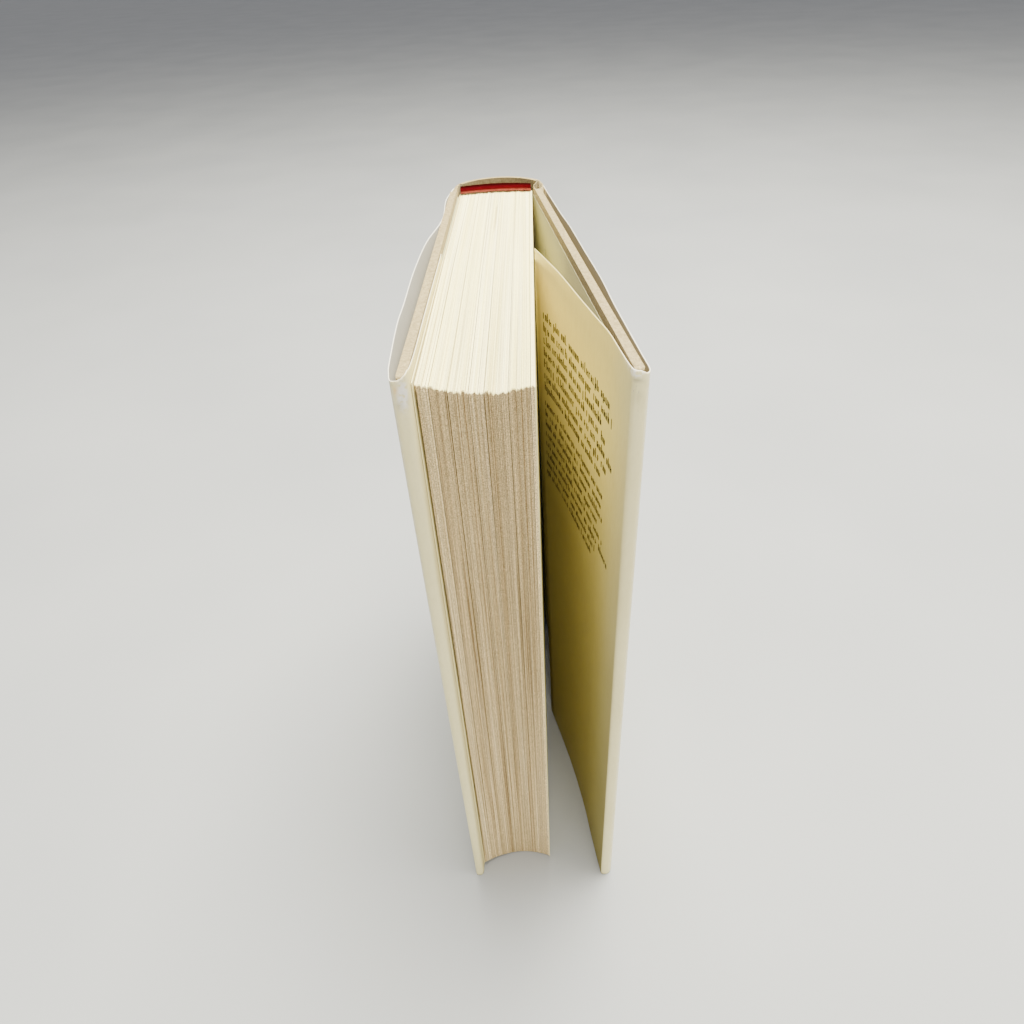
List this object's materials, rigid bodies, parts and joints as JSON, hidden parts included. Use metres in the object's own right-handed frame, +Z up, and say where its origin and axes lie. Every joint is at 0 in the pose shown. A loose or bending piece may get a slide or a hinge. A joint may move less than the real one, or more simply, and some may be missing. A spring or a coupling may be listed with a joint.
{
  "type": "hardback book",
  "caption": "Hardback book in a pale paper dust jacket, with hinged cloth-covered boards, sewn pages, red head and tail bands and a sprung rear flap.",
  "frame": {"origin": "bottom centre of the whole object's box, on the surface that the book stands on", "axes": "+Z up along the spine, +Y towards the spine, -Y towards the fore-edge, +X towards the rear cover, which stands a little open"},
  "size_m": [0.0614, 0.169, 0.24],
  "materials": {
    "pages": "matte, rough cut edges",
    "endpaper": "matte cream",
    "flap": "matte, yellowed",
    "jacket": "matte pale cream, worn at its folds",
    "board": "solid pulp board",
    "cloth": "fine greige book cloth",
    "mull": "open weave, glued",
    "kraft": "matte brown",
    "band": "deep red thread"
  },
  "bodies": {
    "text": {"text_block": "pages", "front_flyleaf": "endpaper", "rear_flyleaf": "endpaper", "head_band": "band", "tail_band": "band", "spine_mull": "mull", "spine_liner": "kraft", "spine_inlay": "board", "spine_cloth": "cloth", "jacket_spine": "jacket"},
    "front_cover": {"front_board": "board", "front_board_cloth": "cloth", "front_mull_hinge": "mull", "front_pastedown": "endpaper", "jacket_front": "jacket"},
    "rear_cover": {"rear_board": "board", "rear_board_cloth": "cloth", "rear_mull_hinge": "mull", "rear_pastedown": "endpaper", "jacket_rear": "jacket", "rear_flap": "flap"}
  },
  "joints": [
    {"name": "front_hinge", "type": "hinge", "parent": "text", "child": "front_cover", "pos_m": [-0.0258, 0.06968, 0], "axis": [0, 0, -1], "range_deg": [0, 150]},
    {"name": "rear_hinge", "type": "hinge", "parent": "text", "child": "rear_cover", "pos_m": [0.0073, 0.06838, 0], "axis": [0, 0, 1], "range_deg": [-8.2, 115], "deforming": ["rear_flap"]}
  ]
}
